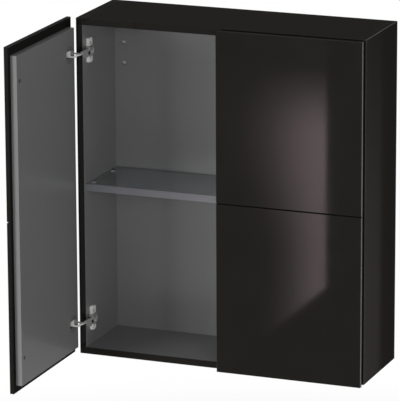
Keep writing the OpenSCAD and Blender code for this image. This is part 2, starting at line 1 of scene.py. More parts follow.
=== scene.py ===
import json
from math import cos, radians, sin

import bpy
from bpy.props import FloatProperty, FloatVectorProperty, PointerProperty
from mathutils import Matrix, Vector


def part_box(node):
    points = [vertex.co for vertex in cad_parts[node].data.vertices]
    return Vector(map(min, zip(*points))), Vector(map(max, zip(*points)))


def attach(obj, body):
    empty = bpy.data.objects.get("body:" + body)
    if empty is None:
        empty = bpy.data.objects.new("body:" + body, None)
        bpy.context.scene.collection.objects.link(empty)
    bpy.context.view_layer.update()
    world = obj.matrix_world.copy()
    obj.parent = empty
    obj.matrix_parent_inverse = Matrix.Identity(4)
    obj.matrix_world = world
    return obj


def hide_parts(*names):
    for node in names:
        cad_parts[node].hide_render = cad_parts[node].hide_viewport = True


bl_info = {
    "name": "Wall linen cabinet",
    "version": (1, 0, 0),
    "blender": (4, 5, 0),
    "location": "View3D > Sidebar > Linen cabinet",
    "description": "Builds a wall-hung linen cabinet with gloss fronts, a glass shelf and wide-angle hinges",
    "category": "Object",
}

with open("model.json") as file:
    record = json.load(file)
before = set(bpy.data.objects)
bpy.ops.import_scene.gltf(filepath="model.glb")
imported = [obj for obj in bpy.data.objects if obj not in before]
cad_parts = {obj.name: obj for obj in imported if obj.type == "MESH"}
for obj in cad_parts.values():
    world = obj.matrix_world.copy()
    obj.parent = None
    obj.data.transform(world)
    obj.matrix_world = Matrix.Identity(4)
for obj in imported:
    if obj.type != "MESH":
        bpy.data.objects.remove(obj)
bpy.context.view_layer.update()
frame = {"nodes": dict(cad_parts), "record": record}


# Sizes and colours


def length(name, description, value):
    """Length property with its default in metres."""
    return FloatProperty(name=name, description=description, default=value, min=0.0, unit="LENGTH")


def colour(name, description, value):
    """Colour property with its default."""
    return FloatVectorProperty(
        name=name, description=description, default=value, size=3, subtype="COLOR", min=0.0, max=1.0
    )


class CabinetSizes(bpy.types.PropertyGroup):
    """Roundings and small features that the boards and fittings are finished with."""

    board_edge: length("Board edge", "Radius on the edges of the carcass boards", 0.0004)
    top_corner: length("Top corner", "Radius on the outer top edges of the sides", 0.0008)
    dowel_edge: length("Dowel edge", "Radius on the ends of the dowels", 0.0008)
    front_edge: length("Front edge", "Radius on the edges of the lacquered fronts", 0.0003)
    panel_edge: length("Inner panel edge", "Radius on the edges of the inner panels", 0.0005)
    cap_edge: length("Cap edge", "Radius on the screw caps", 0.0005)
    screw_edge: length("Screw edge", "Radius on the edges of the front screws", 0.0003)
    metal_edge: length("Metal edge", "Radius on the edges of pressed and drawn metal", 0.0003)
    pin_edge: length("Pin edge", "Radius on the ends of the hinge pins", 0.0002)
    glass_edge: length("Glass edge", "Ground edge of the glass shelf", 0.0008)
    recess_width: length("Recess width", "Width across a screw's cross recess", 0.0046)
    recess_depth: length("Recess depth", "Depth of a screw's cross recess", 0.0012)
    floor_drop: length("Floor drop", "Height of the cabinet above the floor", 1.2)


class CabinetColours(bpy.types.PropertyGroup):
    """Base colours of the finishes."""

    lacquer: colour("Black lacquer", "High gloss lacquer of the fronts and the carcass", (0.0085, 0.0080, 0.0072))
    graphite: colour("Graphite board", "Satin decor of the inside and the inner panels", (0.15, 0.15, 0.152))
    nickel: colour("Nickel", "Satin nickel plating of the hinges", (0.90, 0.89, 0.87))
    dark_zinc: colour("Dark zinc", "Die-cast hinge cups", (0.14, 0.14, 0.142))
    # Painted shade: near black that stands in for the shade inside the hinge cups and under the hinge arms.
    pocket: colour("Pocket", "Inside of the hinge cups and under the hinge arms", (0.02, 0.02, 0.02))
    zinc: colour("Zinc", "Zinc plating of screws, pins and hangers", (0.62, 0.63, 0.65))
    aluminium: colour("Aluminium", "Anodised rail of the shelf", (0.46, 0.47, 0.515))
    glass: colour("Glass", "Colour of light that has gone through the shelf", (0.80, 0.83, 0.84))
    # Painted shade: the rear ground edge is near black and stands for the dark line that the glass shows there.
    rear_edge_shade: colour("Rear glass edge", "Ground rear edge of the glass shelf", (0.045, 0.055, 0.053))
    # Partly the ground edge's own pale tone and partly a painted highlight on the ends of the shelf.
    ground_end_and_highlight: colour("Glass ends", "Ground ends of the glass shelf", (0.5, 0.52, 0.51))
    steel: colour("Steel", "Pressed steel of the hinge arms", (0.36, 0.36, 0.36))
    beech: colour("Beech", "Dowels", (0.62, 0.44, 0.27))
    plastic: colour("Dark plastic", "Screw caps", (0.03, 0.03, 0.032))
    floor: colour("Floor", "Pale floor", (0.86, 0.86, 0.86))


# Materials

# A noise texture is mostly between these two values.
NOISE_LOW, NOISE_HIGH = 0.3, 0.7
GLASS_INDEX = 1.5
GLASS_DENSITY = 75


def new_material(name, stretch=(1, 1, 1)):
    """Material with its node tree, its Principled shader and Object coordinates stretched on each axis."""
    material = bpy.data.materials.new(name)
    material.use_nodes = True
    tree = material.node_tree
    where = tree.nodes.new("ShaderNodeTexCoord")
    mapping = tree.nodes.new("ShaderNodeMapping")
    mapping.inputs["Scale"].default_value = stretch
    tree.links.new(where.outputs["Object"], mapping.inputs["Vector"])
    return material, tree, tree.nodes["Principled BSDF"], mapping.outputs["Vector"]


def noise(tree, vector, scale, detail=2.0, rough=0.5):
    """Noise texture on the given coordinates."""
    node = tree.nodes.new("ShaderNodeTexNoise")
    node.inputs["Scale"].default_value = scale
    node.inputs["Detail"].default_value = detail
    node.inputs["Roughness"].default_value = rough
    tree.links.new(vector, node.inputs["Vector"])
    return node.outputs["Fac"]


def spread(tree, factor, low, high):
    """Maps a noise texture onto a range of numbers."""
    node = tree.nodes.new("ShaderNodeMapRange")
    node.inputs["From Min"].default_value = NOISE_LOW
    node.inputs["From Max"].default_value = NOISE_HIGH
    node.inputs["To Min"].default_value = low
    node.inputs["To Max"].default_value = high
    tree.links.new(factor, node.inputs["Value"])
    return node.outputs["Result"]


def shades(tree, factor, base, low, high):
    """Ramp between a darker and a lighter shade of one colour."""
    node = tree.nodes.new("ShaderNodeValToRGB")
    node.color_ramp.elements[0].position = NOISE_LOW
    node.color_ramp.elements[1].position = NOISE_HIGH
    node.color_ramp.elements[0].color = (*[c * low for c in base], 1)
    node.color_ramp.elements[1].color = (*[min(1, c * high) for c in base], 1)
    tree.links.new(factor, node.inputs["Fac"])
    return node.outputs["Color"]


def bump(tree, shader, height, strength, distance):
    """Bump from a height texture."""
    node = tree.nodes.new("ShaderNodeBump")
    node.inputs["Strength"].default_value = strength
    node.inputs["Distance"].default_value = distance
    tree.links.new(height, node.inputs["Height"])
    tree.links.new(node.outputs["Normal"], shader.inputs["Normal"])


def lacquer_finish(name, base):
    """Polished lacquer: a faint orange peel and a barely mottled black."""
    material, tree, shader, at = new_material(name)
    mottle = noise(tree, at, scale=14, detail=3)
    polish = noise(tree, at, scale=30)
    tree.links.new(shades(tree, mottle, base, 0.94, 1.06), shader.inputs["Base Color"])
    tree.links.new(spread(tree, polish, 0.028, 0.042), shader.inputs["Roughness"])
    bump(tree, shader, noise(tree, at, scale=260, detail=1), strength=0.02, distance=0.0002)
    return material


def shaded_matt_finish(name, base):
    """Thin, matt lacquer in the groove and on the back of a front, darkened well below the gloss as painted shade.
    """
    material, tree, shader, at = new_material(name)
    grain = noise(tree, at, scale=700)
    # Painted shade: the black is taken down to between 0.15 and 0.3 of itself.
    tree.links.new(shades(tree, grain, base, 0.15, 0.3), shader.inputs["Base Color"])
    shader.inputs["Specular IOR Level"].default_value = 0.1
    tree.links.new(spread(tree, grain, 0.6, 0.75), shader.inputs["Roughness"])
    bump(tree, shader, grain, strength=0.2, distance=0.0002)
    return material


def graphite_finish(name, base):
    """Satin decor film: a fine upright grain, with a sheen that varies in wide clouds."""
    material, tree, shader, at = new_material(name, stretch=(1, 1, 0.35))
    grain = noise(tree, at, scale=900)
    clouds = noise(tree, at, scale=60, detail=3)
    tree.links.new(shades(tree, grain, base, 0.93, 1.07), shader.inputs["Base Color"])
    tree.links.new(spread(tree, clouds, 0.33, 0.36), shader.inputs["Roughness"])
    bump(tree, shader, grain, strength=0.05, distance=0.0001)
    return material


def metal_finish(name, base, rough, grain, stretch=(1, 1, 1), depth=0.05, metallic=1.0):
    """Metal with a drawn or tumbled grain."""
    material, tree, shader, at = new_material(name, stretch)
    lines = noise(tree, at, grain, detail=3)
    tree.links.new(shades(tree, lines, base, 0.95, 1.04), shader.inputs["Base Color"])
    shader.inputs["Metallic"].default_value = metallic
    tree.links.new(spread(tree, lines, rough * 0.8, rough * 1.25), shader.inputs["Roughness"])
    bump(tree, shader, lines, strength=depth, distance=0.0002)
    return material


def glass_finish(name, tint):
    """Clear float glass with a trace of waviness, darker the further light goes in it."""
    material, tree, shader, at = new_material(name)
    shader.inputs["Transmission Weight"].default_value = 1.0
    shader.inputs["IOR"].default_value = GLASS_INDEX
    clear = shades(tree, noise(tree, at, scale=6, detail=1), (0.97, 0.98, 0.98), 0.99, 1.01)
    waves = noise(tree, at, scale=25)
    tree.links.new(clear, shader.inputs["Base Color"])
    tree.links.new(spread(tree, waves, 0.0, 0.012), shader.inputs["Roughness"])
    depth = tree.nodes.new("ShaderNodeVolumeAbsorption")
    depth.inputs["Color"].default_value = (*tint, 1)
    depth.inputs["Density"].default_value = GLASS_DENSITY
    tree.links.new(depth.outputs["Volume"], tree.nodes["Material Output"].inputs["Volume"])
    return material


def ground_finish(name, base):
    """Matt ground edge of the glass, made once as a dark rear edge of painted shade and once as pale ends that are
    partly painted highlight.
    """
    material, tree, shader, at = new_material(name)
    grain = noise(tree, at, scale=1500)
    tree.links.new(shades(tree, grain, base, 0.9, 1.1), shader.inputs["Base Color"])
    tree.links.new(spread(tree, grain, 0.5, 0.6), shader.inputs["Roughness"])
    bump(tree, shader, grain, strength=0.1, distance=0.0001)
    return material


def beech_finish(name, base):
    """Turned beech with short dark flecks along the grain."""
    material, tree, shader, at = new_material(name, stretch=(0.12, 1, 1))
    flecks = noise(tree, at, scale=900, detail=4, rough=0.6)
    tree.links.new(shades(tree, flecks, base, 0.72, 1.15), shader.inputs["Base Color"])
    shader.inputs["Roughness"].default_value = 0.6
    bump(tree, shader, noise(tree, at, scale=700, detail=3), strength=0.2, distance=0.0002)
    return material


def plastic_finish(name, base):
    """Fine spark-eroded plastic."""
    material, tree, shader, at = new_material(name)
    tree.links.new(shades(tree, noise(tree, at, scale=600), base, 0.85, 1.15), shader.inputs["Base Color"])
    shader.inputs["Roughness"].default_value = 0.45
    bump(tree, shader, noise(tree, at, scale=2500), strength=0.15, distance=0.0001)
    return material


# Each finish: how it is made, the colour that it starts from, and what else it is told.
FINISHES = {
    "black_lacquer": (lacquer_finish, "lacquer", {}),
    # Matt lacquer, darkened as painted shade.
    "groove_lacquer": (shaded_matt_finish, "lacquer", {}),
    "graphite_board": (graphite_finish, "graphite", {}),
    "satin_nickel": (metal_finish, "nickel", {"rough": 0.32, "grain": 2500, "metallic": 0.2}),
    "pressed_steel": (metal_finish, "steel", {"rough": 0.36, "grain": 2500, "metallic": 0.5}),
    "cup_zinc": (metal_finish, "dark_zinc", {"rough": 0.5, "grain": 400, "metallic": 0.3}),
    # Painted shade for the cup pockets and the plate saddles.
    "cup_pocket": (metal_finish, "pocket", {"rough": 0.5, "grain": 400, "metallic": 0.5}),
    "zinc_plate": (metal_finish, "zinc", {"rough": 0.3, "grain": 1800, "metallic": 0.7}),
    "anodised": (metal_finish, "aluminium", {"rough": 0.34, "grain": 900, "stretch": (0.02, 1, 1), "depth": 0.08}),
    "float_glass": (glass_finish, "glass", {}),
    "dark_ground": (ground_finish, "rear_edge_shade", {}),
    "pale_ground": (ground_finish, "ground_end_and_highlight", {}),
    "turned_beech": (beech_finish, "beech", {}),
    "cap_plastic": (plastic_finish, "plastic", {}),
}


def finish_named(name):
    """The finish of that name, made once from the scene's colours."""
    if name in bpy.data.materials:
        return bpy.data.materials[name]
    make, base, settings = FINISHES[name]
    return make(name, getattr(bpy.context.scene.cabinet_colours, base), **settings)


# Modelling

# Loose triangles of a frame solid are merged within this distance and this angle.
MERGE_DISTANCE = 0.000002
FLAT_ANGLE = radians(0.4)
# Edges sharper than this are rounded.
SHARP_ANGLE = radians(32)
# A face looks along an axis if its unit normal is longer than this on it.
FACING = 0.8
# The same for the rear edge of the glass and its two bevels, which are painted dark as shade.
REAR_FACING = 0.4
# The points of a side board's outer top edge are this near to its outer face and to its top.
CORNER_ACROSS, CORNER_DOWN = 0.0011, 0.0001
# The faces of a front's groove, which take the painted shade, are this near to half height, and smaller than this
# area.
GROOVE_HALF, GROOVE_AREA = 0.0016, 0.002
# A cup's pocket, painted dark as shade, begins this far below its rim.
RIM_DEPTH = 0.0004
# Middles of the lower and the upper hinges, and half the height of a plate's saddle, which is painted dark as
# shade under the arm.
HINGE_HEIGHTS = (0.08, 0.72)
SADDLE_HALF = 0.0104
# Axis that each set of screws points along, and the middles of their heads.
SCREW_HEADS = {
    "hinge_plate_screws": (0, [
        (x, -0.186, z + step) for x in (-0.327, 0.327) for z in HINGE_HEIGHTS for step in (-0.016, 0.016)
    ]),
    "hinge_adjusters": (0, [
        (side * x, y, z)
        for side in (-1, 1) for z in HINGE_HEIGHTS for x, y in ((0.315, -0.2015), (0.3214, -0.1825))
    ]),
    "hanger_screws": (1, [(x, -0.0193, z) for x in (-0.312, 0.312) for z in (0.657, 0.706)]),
}


def deselect():
    """Nothing selected and nothing active."""
    bpy.ops.object.select_all(action="DESELECT")
    bpy.context.view_layer.objects.active = None


def take(piece):
    """Only this piece selected and active."""
    deselect()
    piece.select_set(True)
    bpy.context.view_layer.objects.active = piece


def apply(piece, modifier):
    """Applies one modifier of a piece."""
    take(piece)
    bpy.ops.object.modifier_apply(modifier=modifier.name)


def merged_copy(node):
    """Copy of a frame solid with its loose triangles merged into whole faces."""
    piece = bpy.data.objects.new(node.replace("_", "-"), frame["nodes"][node].data.copy())
    bpy.context.scene.collection.objects.link(piece)
    piece.data.materials.clear()
    take(piece)
    bpy.ops.object.mode_set(mode="EDIT")
    bpy.ops.mesh.select_all(action="SELECT")
    bpy.ops.mesh.remove_doubles(threshold=MERGE_DISTANCE)
    bpy.ops.mesh.dissolve_limited(angle_limit=FLAT_ANGLE)
    bpy.ops.object.mode_set(mode="OBJECT")
    return piece


def ease(piece, radius, segments):
    """Rounds the sharp edges of a piece and smooths its curved faces."""
    if radius > 0:
        modifier = piece.modifiers.new("ease", "BEVEL")
        modifier.width = radius
        modifier.segments = segments
        modifier.limit_method = "ANGLE"
        modifier.angle_limit = SHARP_ANGLE
        modifier.use_clamp_overlap = True
        apply(piece, modifier)
    take(piece)
    bpy.ops.object.shade_smooth_by_angle(angle=SHARP_ANGLE)
    modifier = piece.modifiers.new("flat faces", "WEIGHTED_NORMAL")
    modifier.keep_sharp = True
    modifier.weight = 100
    apply(piece, modifier)


def round_corner(piece, chosen, radius):
    """Rounds the edges whose two ends are both points for which chosen(place) holds."""
    group = piece.vertex_groups.new(name="corner")
    group.add([point.index for point in piece.data.vertices if chosen(point.co)], 1.0, "REPLACE")
    modifier = piece.modifiers.new("corner", "BEVEL")
    modifier.limit_method = "VGROUP"
    modifier.vertex_group = group.name
    modifier.width = radius
    modifier.segments = 4
    apply(piece, modifier)
    piece.vertex_groups.clear()


def cut_recesses(piece, axis, heads):
    """Cuts a cross recess of two bars into the middle of each screw head."""
    sizes = bpy.context.scene.cabinet_sizes
    for along in [other for other in range(3) if other != axis]:
        bar_size = [sizes.recess_width / 4] * 3
        bar_size[axis] = 2 * sizes.recess_depth
        bar_size[along] = sizes.recess_width
        bars = []
        for head in heads:
            deselect()
            bpy.ops.mesh.primitive_cube_add(size=1, location=head)
            bars.append(bpy.context.active_object)
            bars[-1].scale = bar_size
        for bar in bars:
            bar.select_set(True)
        bpy.ops.object.transform_apply(location=False, rotation=False, scale=True)
        bpy.ops.object.join()
        cutter = bpy.context.active_object
        modifier = piece.modifiers.new("recess", "BOOLEAN")
        modifier.operation = "DIFFERENCE"
        modifier.solver = "EXACT"
        modifier.object = cutter
        apply(piece, modifier)
        bpy.data.objects.remove(cutter)


def frame_body(node):
    """Name of the body that a node belongs to."""
    bodies = frame["record"]["behaviour"]["bodies"]
    return next(body for body, members in bodies.items() if node in members)


def make_piece(node, radius, *finishes, segments=2, shape=None):
    """Piece that stands for a frame solid: merged, shaped, rounded, and given its finishes and its body."""
    piece = merged_copy(node)
    if shape:
        shape(piece)
    if node in SCREW_HEADS:
        cut_recesses(piece, *SCREW_HEADS[node])
    ease(piece, radius, segments)
    for name in finishes:
        piece.data.materials.append(finish_named(name))
    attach(piece, frame_body(node))
    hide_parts(node)
    return piece


def paint(piece, slot, chosen):
    """Faces for which chosen(face) holds take the finish in that slot."""
    for face in piece.data.polygons:
        if chosen(face):
            face.material_index = slot


class Step:
    """Shared settings of the operators below."""

    bl_options = {"REGISTER", "UNDO"}


class CABINET_OT_side_boards(Step, bpy.types.Operator):
    """Side boards: gloss outside and on the edges, graphite inside."""

    bl_idname = "cabinet.side_boards"
    bl_label = "Side boards"

    def execute(self, context):
        sizes = context.scene.cabinet_sizes
        for node, inward in (("left_side_board", 1), ("right_side_board", -1)):
            low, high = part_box(node)
            outside = (low if inward > 0 else high)[0]

            def outer_top(at):
                return abs(at.x - outside) < CORNER_ACROSS and high[2] - at.z < CORNER_DOWN

            piece = make_piece(
                node, sizes.board_edge, "black_lacquer", "graphite_board",
                shape=lambda board: round_corner(board, outer_top, sizes.top_corner),
            )
            paint(piece, 1, lambda face: face.normal.x * inward > FACING)
        return {"FINISHED"}


class CABINET_OT_cross_boards(Step, bpy.types.Operator):
    """Top and bottom boards: gloss outside and on the edges, graphite inside."""

    bl_idname = "cabinet.cross_boards"
    bl_label = "Top and bottom boards"

    def execute(self, context):
        edge = context.scene.cabinet_sizes.board_edge
        for node, inward in (("bottom_board", 1), ("top_board", -1)):
            piece = make_piece(node, edge, "black_lacquer", "graphite_board")
            paint(piece, 1, lambda face: face.normal.z * inward > FACING)
        return {"FINISHED"}


class CABINET_OT_back_board(Step, bpy.types.Operator):
    """Back board with its slots for the hanger screws."""

    bl_idname = "cabinet.back_board"
    bl_label = "Back board"

    def execute(self, context):
        make_piece("back_board_panel", context.scene.cabinet_sizes.board_edge, "graphite_board")
        return {"FINISHED"}


class CABINET_OT_dowels(Step, bpy.types.Operator):
    """Dowels that hold the carcass corners."""

    bl_idname = "cabinet.dowels"
    bl_label = "Dowels"

    def execute(self, context):
        make_piece("board_dowels", context.scene.cabinet_sizes.dowel_edge, "turned_beech")
        return {"FINISHED"}


class CABINET_OT_front_panels(Step, bpy.types.Operator):
    """Lacquered front panels, matt in their routed groove and on their back, where a darker lacquer is painted
    shade.
    """

    bl_idname = "cabinet.front_panels"
    bl_label = "Front panels"

    def execute(self, context):
        edge = context.scene.cabinet_sizes.front_edge
        low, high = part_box("right_front_panel")
        middle = (low[2] + high[2]) / 2
        for side, across in (("left", 0), ("right", 1)):
            piece = make_piece(f"{side}_front_panel", edge, "black_lacquer", "groove_lacquer", segments=3)
            # Painted shade in the groove and on the back of each front.
            paint(piece, 1, lambda face: abs(face.center.z - middle) < GROOVE_HALF and face.area < GROOVE_AREA)
            paint(piece, 1, lambda face: face.normal[across] > FACING)
        return {"FINISHED"}


class CABINET_OT_inner_panels(Step, bpy.types.Operator):
    """Inner panels that carry the fronts and the hinge cups."""

    bl_idname = "cabinet.inner_panels"
    bl_label = "Inner panels"

    def execute(self, context):
        for side in ("left", "right"):
            make_piece(f"{side}_inner_panel", context.scene.cabinet_sizes.panel_edge, "graphite_board")
        return {"FINISHED"}


class CABINET_OT_front_screws(Step, bpy.types.Operator):
    """Screws that hold each front, and their caps."""

    bl_idname = "cabinet.front_screws"
    bl_label = "Front screws and caps"

    def execute(self, context):
        sizes = context.scene.cabinet_sizes
        for side in ("left", "right"):
            make_piece(f"{side}_front_screws", sizes.screw_edge, "zinc_plate")
            make_piece(f"{side}_screw_caps", sizes.cap_edge, "cap_plastic", segments=3)
        return {"FINISHED"}


class CABINET_OT_shelf(Step, bpy.types.Operator):
    """Glass shelf, its front rail and the pins that it lies on."""

    bl_idname = "cabinet.shelf"
    bl_label = "Shelf"

    def execute(self, context):
        sizes = context.scene.cabinet_sizes
        glass = make_piece(
            "shelf_glass", sizes.glass_edge, "float_glass", "dark_ground", "pale_ground", segments=1
        )
        # Painted shade on the rear edge.
        paint(glass, 1, lambda face: face.normal.y > REAR_FACING)
        # Ends: their own pale ground tone, partly painted highlight.
        paint(glass, 2, lambda face: abs(face.normal.x) > FACING)
        make_piece("shelf_front_rail", sizes.metal_edge, "anodised")
        make_piece("shelf_supports", sizes.metal_edge, "satin_nickel")
        return {"FINISHED"}


class CABINET_OT_hinge_cups(Step, bpy.types.Operator):
    """Hinge cups pressed into the inner panels, and their pins."""

    bl_idname = "cabinet.hinge_cups"
    bl_label = "Hinge cups"

    def execute(self, context):
        sizes = context.scene.cabinet_sizes
        for side, across in (("left", 0), ("right", 1)):
            cups = make_piece(f"{side}_hinge_cups", sizes.metal_edge, "cup_zinc", "cup_pocket")
            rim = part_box(f"{side}_hinge_cups")[1][across]
            # Painted shade: the pocket below the rim takes the near-black shade finish.
            paint(cups, 1, lambda face: face.center[across] < rim - RIM_DEPTH)
            make_piece(f"{side}_cup_pins", sizes.pin_edge, "zinc_plate")
        return {"FINISHED"}


class CABINET_OT_hinge_links(Step, bpy.types.Operator):
    """Links of the hinges and the pins riveted into them."""

    bl_idname = "cabinet.hinge_links"
    bl_label = "Hinge links"

    def execute(self, context):
        sizes = context.scene.cabinet_sizes
        for side in ("left", "right"):
            for kind, edge, finish in (
                ("main_links", sizes.metal_edge, "satin_nickel"),
                ("guide_links", sizes.metal_edge, "pressed_steel"),
                ("long_cross_links", sizes.metal_edge, "pressed_steel"),
                ("short_cross_links", sizes.metal_edge, "satin_nickel"),
                ("main_link_pins", sizes.pin_edge, "zinc_plate"),
                ("guide_link_pins", sizes.pin_edge, "zinc_plate"),
            ):
                make_piece(f"{side}_{kind}", edge, finish)
        return {"FINISHED"}


class CABINET_OT_hinge_arms(Step, bpy.types.Operator):
    """Hinge arms on their mounting plates, with all screws and pins."""

    bl_idname = "cabinet.hinge_arms"
    bl_label = "Hinge arms and plates"

    def execute(self, context):
        edge = context.scene.cabinet_sizes.metal_edge
        plates = make_piece("hinge_plates", edge, "satin_nickel", "cup_pocket")
        # Painted shade: the saddle under each hinge arm takes the near-black shade finish.
        paint(plates, 1, lambda face: min(abs(face.center.z - z) for z in HINGE_HEIGHTS) < SADDLE_HALF)
        make_piece("hinge_arms", edge, "pressed_steel")
        for node in ("hinge_plate_screws", "hinge_adjusters", "hinge_arm_pins"):
            make_piece(node, edge, "zinc_plate")
        return {"FINISHED"}


class CABINET_OT_wall_hangers(Step, bpy.types.Operator):
    """Concealed hangers and the wall plates that they hook on."""

    bl_idname = "cabinet.wall_hangers"
    bl_label = "Wall hangers"

    def execute(self, context):
        edge = context.scene.cabinet_sizes.metal_edge
        for node, finish in (
            ("hanger_housings", "zinc_plate"),
            ("hanger_hooks", "zinc_plate"),
            ("hanger_screws", "satin_nickel"),
            ("wall_plates", "zinc_plate"),
        ):
            make_piece(node, edge, finish)
        return {"FINISHED"}


# Studio, in metres, degrees and watts

WORLD_LEVEL = 0.29
FLOOR_RADIUS, FLOOR_SIDES = 4, 96
# The floor fades into the background between these two distances from its middle.
FLOOR_FADE = (1.2, 3.6)
LAMP_AIM = (0, 0, 0.4)
# Name, place, size and power.
LAMPS = (("key-lamp", (-2.4, -5.2, 1.2), 1.5, 245), ("side-lamp", (3.2, -4.4, 1.4), 2.0, 108))
CAMERA = {
    "azimuth": 21.568, "elevation": 14.868, "roll": -0.281, "distance": 8.4277,
    "aim": (-0.0868, -0.118, 0.3679), "sensor": 36, "focal_pixels": 3648.15, "image_pixels": 400, "reach": 60,
}
# The card in front is dark round its middle, has the window below, and turns pale between the limits.
FRONT_CARD = {
    "place": (-0.9, -3.243, -0.4), "width": 9, "height": 4.4,
    "dark": (0.11, 0.105, 0.092), "bright": (2.25, 1.75, 1.83), "pale": (0.7, 0.7, 0.7),
    "middle_x": -1.15, "limits_x": (0.75, 1.7), "middle_z": -0.5, "limits_z": (0.85, 1.6),
}
# The window is brightest along its right edge. It narrows and dims from high to low, fades out from
# high to top, and is cut off below a line that climbs to the right.
WINDOW = {
    "right": -0.797, "soft": 0.004, "wide": 0.1165, "narrow": 0.0765,
    "top": 0.03, "top_level": 0.03, "high": -0.217, "low": -0.62, "low_level": 0.8,
    "slope": 0.896, "cut": 0.016,
}
# The card behind is dark, a little lighter high up, and lighter again at its lower right.
BACK_CARD = {
    "place": (0, 3, -0.2), "width": 9, "height": 3.8,
    "dark": (0.042, 0.04, 0.036), "upper": (0.044, 0.042, 0.039), "side": (0.12, 0.108, 0.106),
    "upper_z": (0.6, 1.1), "side_x": (1.394, 1.402), "side_z": (0.45, -0.75),
}
STRIP_CARD = {"place": (0.6045, 0.5, 0.2), "width": 0.010, "height": 1.4, "bright": (0.95, 0.95, 0.95)}


def glossy_card(name, settings):
    """Upright card that only glossy rays see. Gives its node tree and the socket for its light's colour."""
    deselect()
    bpy.ops.mesh.primitive_plane_add(size=1, location=settings["place"], rotation=(radians(90), 0, 0))
    card = bpy.context.active_object
    card.name = name
    card.scale = (settings["width"], settings["height"], 1)
    card.visible_camera = False
    card.visible_diffuse = False
    card.visible_transmission = False
    card.visible_shadow = False
    card.visible_volume_scatter = False
    material = bpy.data.materials.new(name.replace("-", "_"))
    material.use_nodes = True
    card.data.materials.append(material)
    tree = material.node_tree
    tree.nodes.clear()
    out = tree.nodes.new("ShaderNodeOutputMaterial")
    light = tree.nodes.new("ShaderNodeEmission")
    tree.links.new(light.outputs["Emission"], out.inputs["Surface"])
    return tree, light.inputs["Color"]


def world_place(tree):
    """World x and z of the shaded point."""
    place = tree.nodes.new("ShaderNodeNewGeometry")
    axes = tree.nodes.new("ShaderNodeSeparateXYZ")
    tree.links.new(place.outputs["Position"], axes.inputs["Vector"])
    return axes.outputs["X"], axes.outputs["Z"]


def rise(tree, value, start, end, low=0.0, high=1.0):
    """Number that goes smoothly from low at start to high at end."""
    node = tree.nodes.new("ShaderNodeMapRange")
    node.interpolation_type = "SMOOTHSTEP"
    node.inputs["From Min"].default_value = start
    node.inputs["From Max"].default_value = end
    node.inputs["To Min"].default_value = low
    node.inputs["To Max"].default_value = high
    tree.links.new(value, node.inputs["Value"])
    return node.outputs["Result"]


def math_node(tree, operation, a, b=0.0):
    """Arithmetic on two values or sockets."""
    node = tree.nodes.new("ShaderNodeMath")
    node.operation = operation
    for socket, value in zip(node.inputs, (a, b)):
        if isinstance(value, (int, float)):
            socket.default_value = value
        else:
            tree.links.new(value, socket)
    return node.outputs["Value"]


def away_from(tree, value, middle, limits):
    """Goes from 0 to 1 between two distances from a middle, on either side of it."""
    distance = math_node(tree, "ABSOLUTE", math_node(tree, "SUBTRACT", value, middle))
    return rise(tree, distance, *limits)


def mix_colours(tree, factor, first, second):
    """Goes from the first to the second colour or socket."""
    mix = tree.nodes.new("ShaderNodeMixRGB")
    tree.links.new(factor, mix.inputs["Fac"])
    for socket, value in ((mix.inputs["Color1"], first), (mix.inputs["Color2"], second)):
        if isinstance(value, tuple):
            socket.default_value = (*value, 1)
        else:
            tree.links.new(value, socket)
    return mix.outputs["Color"]


def front_card():
    """Dark card in front, with a window of soft light that the gloss fronts mirror."""
    tree, colour_in = glossy_card("front-card", FRONT_CARD)
    x, z = world_place(tree)
    width = rise(tree, z, WINDOW["low"], WINDOW["high"], WINDOW["narrow"], WINDOW["wide"])
    side = math_node(tree, "DIVIDE", math_node(tree, "SUBTRACT", x, WINDOW["right"]), width)
    glow = math_node(tree, "EXPONENT", math_node(tree, "MULTIPLY", math_node(tree, "MULTIPLY", side, side), -0.5))
    edge = rise(tree, x, WINDOW["right"] + WINDOW["soft"], WINDOW["right"] - WINDOW["soft"])
    top = rise(tree, z, WINDOW["top"], WINDOW["high"], WINDOW["top_level"], 1)
    fade = rise(tree, z, WINDOW["low"], WINDOW["high"], WINDOW["low_level"], 1)
    line = math_node(tree, "SUBTRACT", z, math_node(tree, "MULTIPLY", x, WINDOW["slope"]))
    cut = rise(tree, line, WINDOW["cut"] - WINDOW["soft"], WINDOW["cut"] + WINDOW["soft"])
    for part in (edge, top, fade, cut):
        glow = math_node(tree, "MULTIPLY", glow, part)
    around = math_node(
        tree, "MAXIMUM",
        away_from(tree, x, FRONT_CARD["middle_x"], FRONT_CARD["limits_x"]),
        away_from(tree, z, FRONT_CARD["middle_z"], FRONT_CARD["limits_z"]),
    )
    room = mix_colours(tree, glow, FRONT_CARD["dark"], FRONT_CARD["bright"])
    tree.links.new(mix_colours(tree, around, room, FRONT_CARD["pale"]), colour_in)


def back_card():
    """Dark card behind, which the top and the right side mirror."""
    tree, colour_in = glossy_card("back-card", BACK_CARD)
    x, z = world_place(tree)
    side = math_node(
        tree, "MULTIPLY", rise(tree, x, *BACK_CARD["side_x"]), rise(tree, z, *BACK_CARD["side_z"])
    )
    dark = mix_colours(tree, rise(tree, z, *BACK_CARD["upper_z"]), BACK_CARD["dark"], BACK_CARD["upper"])
    tree.links.new(mix_colours(tree, side, dark, BACK_CARD["side"]), colour_in)


def strip_card():
    """Upright strip of light, which the outer edge of the right front mirrors as a light line."""
    colour_in = glossy_card("strip-card", STRIP_CARD)[1]
    colour_in.default_value = (*STRIP_CARD["bright"], 1)


def seen_directly(tree):
    """1 for camera, glossy and transmission rays, and 0 for the light on matt surfaces."""
    path = tree.nodes.new("ShaderNodeLightPath")
    total = math_node(tree, "ADD", path.outputs["Is Camera Ray"], path.outputs["Is Glossy Ray"])
    total = math_node(tree, "ADD", total, path.outputs["Is Transmission Ray"])
    return math_node(tree, "MINIMUM", total, 1.0)


